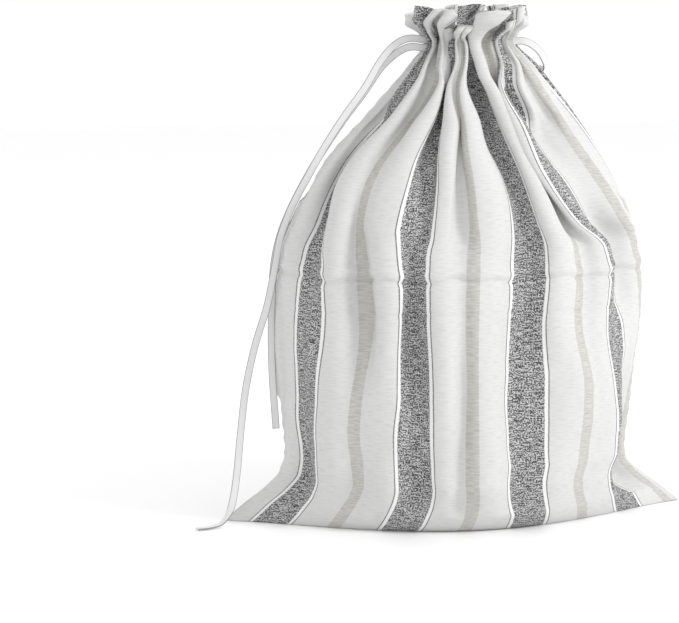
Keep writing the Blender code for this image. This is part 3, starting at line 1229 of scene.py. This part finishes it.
# The routes repeat those of the solids, and start a little further inside the hem,
# where the loop's other end lies too
TAIL_LEFT_ROUTE: Route = (
    (-0.0195, 0.0004, 0.3170),
    (-0.0252, -0.0004, 0.3180),
    (-0.0320, -0.0012, 0.3188),
    (-0.0390, -0.0024, 0.3175),
    (-0.0470, -0.0032, 0.3120),
    (-0.0550, -0.0038, 0.3020),
    (-0.0640, -0.0038, 0.2870),
    (-0.0787, -0.0036, 0.2670),
    (-0.0905, -0.0034, 0.2490),
    (-0.1022, -0.0032, 0.2290),
    (-0.1130, -0.0032, 0.2090),
    (-0.1205, -0.0034, 0.1895),
    (-0.1245, -0.0038, 0.1690),
    (-0.1300, -0.0050, 0.1440),
    (-0.1385, -0.0070, 0.1180),
    (-0.1450, -0.0090, 0.0900),
    (-0.1490, -0.0110, 0.0600),
    (-0.1520, -0.0130, 0.0330),
    (-0.1560, -0.0150, 0.0125),
    (-0.1620, -0.0175, 0.0030),
    (-0.1700, -0.0205, 0.0010),
    (-0.1800, -0.0240, 0.0010),
)
TAIL_BACK_ROUTE: Route = (
    (-0.0195, 0.0002, 0.3126),
    (-0.0252, 0.0004, 0.3126),
    (-0.0310, 0.0018, 0.3132),
    (-0.0370, 0.0036, 0.3115),
    (-0.0455, 0.0048, 0.3055),
    (-0.0530, 0.0054, 0.2975),
    (-0.0630, 0.0056, 0.2830),
    (-0.0768, 0.0056, 0.2650),
    (-0.0900, 0.0054, 0.2460),
    (-0.1018, 0.0050, 0.2270),
    (-0.1125, 0.0046, 0.2070),
    (-0.1200, 0.0044, 0.1880),
    (-0.1240, 0.0042, 0.1680),
    (-0.1252, 0.0040, 0.1450),
    (-0.1256, 0.0040, 0.1200),
    (-0.1250, 0.0042, 0.0950),
    (-0.1236, 0.0046, 0.0750),
    (-0.1225, 0.0050, 0.0600),
)
LOOP_RIGHT_ROUTE: Route = (
    (0.0340, -0.0010, 0.3160),
    (0.0393, -0.0010, 0.3165),
    (0.0440, -0.0012, 0.3165),
    (0.0500, -0.0008, 0.3140),
    (0.0555, 0.0005, 0.3095),
    (0.0600, 0.0035, 0.3030),
    (0.0615, 0.0085, 0.2985),
    (0.0590, 0.0145, 0.2975),
    (0.0545, 0.0200, 0.2995),
    (0.0490, 0.0235, 0.3045),
    (0.0430, 0.0240, 0.3100),
    (0.0380, 0.0215, 0.3145),
    (0.0348, 0.0180, 0.3165),
    (0.0300, 0.0150, 0.3165),
)


@dataclass
class StitchRow:
    """A row of sewing stitches that follows the gathered cloth at one level."""

    name: str
    height: float
    cloth: BagCloth
    finish: CottonFinish
    pitch: float = 0.0032
    length: float = 0.0024
    thickness: float = 0.00045
    segments: int = 6
    rings: int = 4

    def wire(self) -> bpy.types.Object:
        """Lay a wire on the cloth at the row's level.

        Returns:
            The closed wire.
        """
        loop = self.cloth.loop(self.height)
        count = len(loop)
        return new_piece(self.name, loop, [], [(k, (k + 1) % count) for k in range(count)])

    def sizes(self) -> dict[str, float]:
        """Return the tree's sizes by the names of its inputs."""
        return {"Pitch": self.pitch, "Length": self.length, "Thickness": self.thickness}

    def tree(self, material: bpy.types.Material) -> bpy.types.NodeTree:
        """Build the node tree that sets a stitch at every pitch along a wire.

        Args:
            material: The thread's material.

        Returns:
            The tree, which takes the wire and the row's sizes.
        """
        tree = bpy.data.node_groups.new("stitches", "GeometryNodeTree")
        for way in ("INPUT", "OUTPUT"):
            tree.interface.new_socket("Geometry", in_out=way, socket_type="NodeSocketGeometry")
        for name in self.sizes():
            tree.interface.new_socket(name, in_out="INPUT", socket_type="NodeSocketFloat")
        sheet = NodeSheet(tree)
        given = sheet.add("NodeGroupInput").outputs
        curve = sheet.add("GeometryNodeMeshToCurve", {"Mesh": given["Geometry"]})
        spaced = sheet.add("GeometryNodeResampleCurve",
                           {"Curve": curve.outputs[0], "Length": given["Pitch"]}, mode="LENGTH")
        ball = sheet.add("GeometryNodeMeshUVSphere",
                         {"Segments": self.segments, "Rings": self.rings, "Radius": 0.5})
        size = sheet.add("ShaderNodeCombineXYZ", {
            "X": given["Length"],
            "Y": given["Thickness"],
            "Z": given["Thickness"],
        })
        tangent = sheet.add("GeometryNodeInputTangent")
        turn = sheet.add("FunctionNodeAlignRotationToVector", {"Vector": tangent.outputs[0]},
                         axis="X")
        placed = sheet.add("GeometryNodeInstanceOnPoints", {
            "Points": spaced.outputs[0],
            "Instance": ball.outputs["Mesh"],
            "Rotation": turn.outputs[0],
            "Scale": size.outputs[0],
        })
        real = sheet.add("GeometryNodeRealizeInstances", {"Geometry": placed.outputs[0]})
        painted = sheet.add("GeometryNodeSetMaterial",
                            {"Geometry": real.outputs[0], "Material": material})
        sheet.add("NodeGroupOutput", {"Geometry": painted.outputs[0]})
        return tree

    def build(self) -> bpy.types.Object:
        """Build the row of stitches as one plain mesh.

        Returns:
            The row of stitches.
        """
        row = self.wire()
        tree = self.tree(self.finish.make())
        modifier = row.modifiers.new("stitches", "NODES")
        modifier.node_group = tree
        sizes = self.sizes()
        for item in tree.interface.items_tree:
            if item.in_out == "INPUT" and item.name in sizes:
                modifier[item.identifier] = sizes[item.name]
        bpy.context.view_layer.update()
        ready = row.evaluated_get(bpy.context.evaluated_depsgraph_get())
        mesh = bpy.data.meshes.new_from_object(ready)
        row.modifiers.remove(modifier)
        row.data = mesh
        mesh.shade_smooth()
        return row

    def dress(self, row: bpy.types.Object) -> None:
        """Attach the row to the body that it rides on."""
        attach(row, BODY)


@dataclass(frozen=True)
class SoftLight:
    """A square soft light: where it hangs, its side in metres and its power in watts."""

    name: str
    place: Point
    size: float
    power: float

    def hang(self, aim: Vector) -> None:
        """Hang the light.

        Args:
            aim: The point that it looks at.
        """
        light = bpy.data.lights.new(self.name, "AREA")
        light.size = self.size
        light.energy = self.power
        lamp = bpy.data.objects.new(self.name, light)
        bpy.context.scene.collection.objects.link(lamp)
        lamp.location = self.place
        lamp.rotation_euler = (lamp.location - aim).to_track_quat("Z", "Y").to_euler()


@dataclass
class Studio:
    """The pale floor, the soft light and the camera at the photograph's angle.

    The axis pixel is where the photograph shows the axis point, the middle of the bag.
    """

    azimuth: float = -14.0
    elevation: float = 7.0
    distance: float = 1.55
    metres_a_pixel: float = 0.00067
    axis_pixel: tuple[float, float] = (457.0, 258.0)
    axis_point: Point = (0.0, 0.0, 0.172)
    sensor_width: float = 36.0
    floor_size: float = 8.0
    floor_drop: float = 0.0003
    floor_colour: Colour = (0.97, 0.97, 0.97, 1.0)
    floor_roughness: float = 0.6
    sky_colour: Colour = (1.0, 1.0, 1.0, 1.0)
    sky_strength: float = 1.01
    lights: tuple[SoftLight, ...] = (
        SoftLight("key_light", (1.4, -1.1, 1.2), 0.5, 19.0),
        SoftLight("back_light", (0.3, 1.7, 1.4), 1.0, 3.0),
    )

    def view_axes(self) -> tuple[Vector, Vector, Vector]:
        """Work out how the picture lies in the frame.

        Returns:
            The ways to the camera, to the picture's right and up the picture.
        """
        turn, lift = math.radians(self.azimuth), math.radians(self.elevation)
        to_camera = Vector((math.sin(turn) * math.cos(lift),
                            -math.cos(turn) * math.cos(lift), math.sin(lift)))
        right = Vector((0.0, 0.0, 1.0)).cross(to_camera).normalized()
        return to_camera, right, to_camera.cross(right)

    def build_camera(self) -> None:
        """Set the camera so that the bag stands where the photograph has it."""
        to_camera, right, up = self.view_axes()
        middle = Vector(self.axis_point)
        camera = bpy.data.cameras.new("photo_camera")
        camera.sensor_fit = "HORIZONTAL"
        camera.sensor_width = self.sensor_width
        camera.lens = self.sensor_width * self.distance / (PHOTO_WIDTH * self.metres_a_pixel)
        spot = bpy.data.objects.new("photo_camera", camera)
        bpy.context.scene.collection.objects.link(spot)
        spot.location = middle + to_camera * self.distance
        across = (self.axis_pixel[0] - 0.5 * PHOTO_WIDTH) * self.metres_a_pixel
        above = (0.5 * PHOTO_HEIGHT - self.axis_pixel[1]) * self.metres_a_pixel
        aim = middle - right * across - up * above
        spot.rotation_euler = (spot.location - aim).to_track_quat("Z", "Y").to_euler()
        bpy.context.scene.camera = spot

    def build_floor(self) -> None:
        """Lay the plain pale floor."""
        signs = np.array([(-1.0, -1.0), (1.0, -1.0), (1.0, 1.0), (-1.0, 1.0)])
        level = np.full((len(signs), 1), -self.floor_drop)
        corners = np.hstack([0.5 * self.floor_size * signs, level])
        floor = new_piece("floor", corners, [(0, 1, 2, 3)])
        sheet = MaterialSheet("floor")
        sheet.set("Base Color", self.floor_colour)
        sheet.set("Roughness", self.floor_roughness)
        floor.data.materials.append(sheet.material)

    def build_light(self) -> None:
        """Light the bag softly from all round, and most from the upper right front."""
        world = bpy.data.worlds.new("studio")
        world.use_nodes = True
        backdrop = world.node_tree.nodes["Background"]
        backdrop.inputs["Color"].default_value = self.sky_colour
        backdrop.inputs["Strength"].default_value = self.sky_strength
        bpy.context.scene.world = world
        for light in self.lights:
            light.hang(Vector(self.axis_point))
        bpy.context.scene.view_settings.view_transform = "Standard"


# The heights of the two rows of stitches that close the hem
STITCH_HEIGHTS = {"stitches_low": 0.3075, "stitches_high": 0.3240}


def write_sizes() -> None:
    """Bring the view layer up to date."""
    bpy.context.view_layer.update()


def main() -> None:
    """Build the studio, then the tape, the cloth and its stitches, and report each."""
    logging.basicConfig(level=logging.INFO, format="%(name)s: %(message)s")
    studio = Studio()
    studio.build_camera()
    tape_finish = CottonFinish("cotton_tape")
    tapes = (
        Tape("tail_left", "tape_tail_left", TAIL_LEFT_ROUTE, Facing.TO_THE_FRONT, "bare",
             "hanging", tape_finish),
        Tape("tail_back", "tape_tail_back", TAIL_BACK_ROUTE, Facing.TO_THE_FRONT, "bare",
             "hanging", tape_finish),
        Tape("loop_right", "tape_loop_right", LOOP_RIGHT_ROUTE, Facing.ROUND_A_BEND, "object",
             "loose", tape_finish),
    )
    for tape in tapes:
        piece, line = tape.build()
        tape.dress(piece, line)
        log.info("%s: %.0f mm of tape", tape.name, 1000.0 * run_of(line)[-1])
    cloth = BagCloth(BagForm(), LinenFinish())
    piece = cloth.build()
    cloth.dress(piece)
    log.info("linen_cloth: %d faces before its thickness", len(piece.data.polygons))
    thread = CottonFinish("sewing_thread")
    for name, height in STITCH_HEIGHTS.items():
        row = StitchRow(name, height, cloth, thread)
        piece = row.build()
        row.dress(piece)
        log.info("%s: %d faces", name, len(piece.data.polygons))
    studio.build_floor()
    studio.build_light()
    write_sizes()


if __name__ == "__main__":
    main()
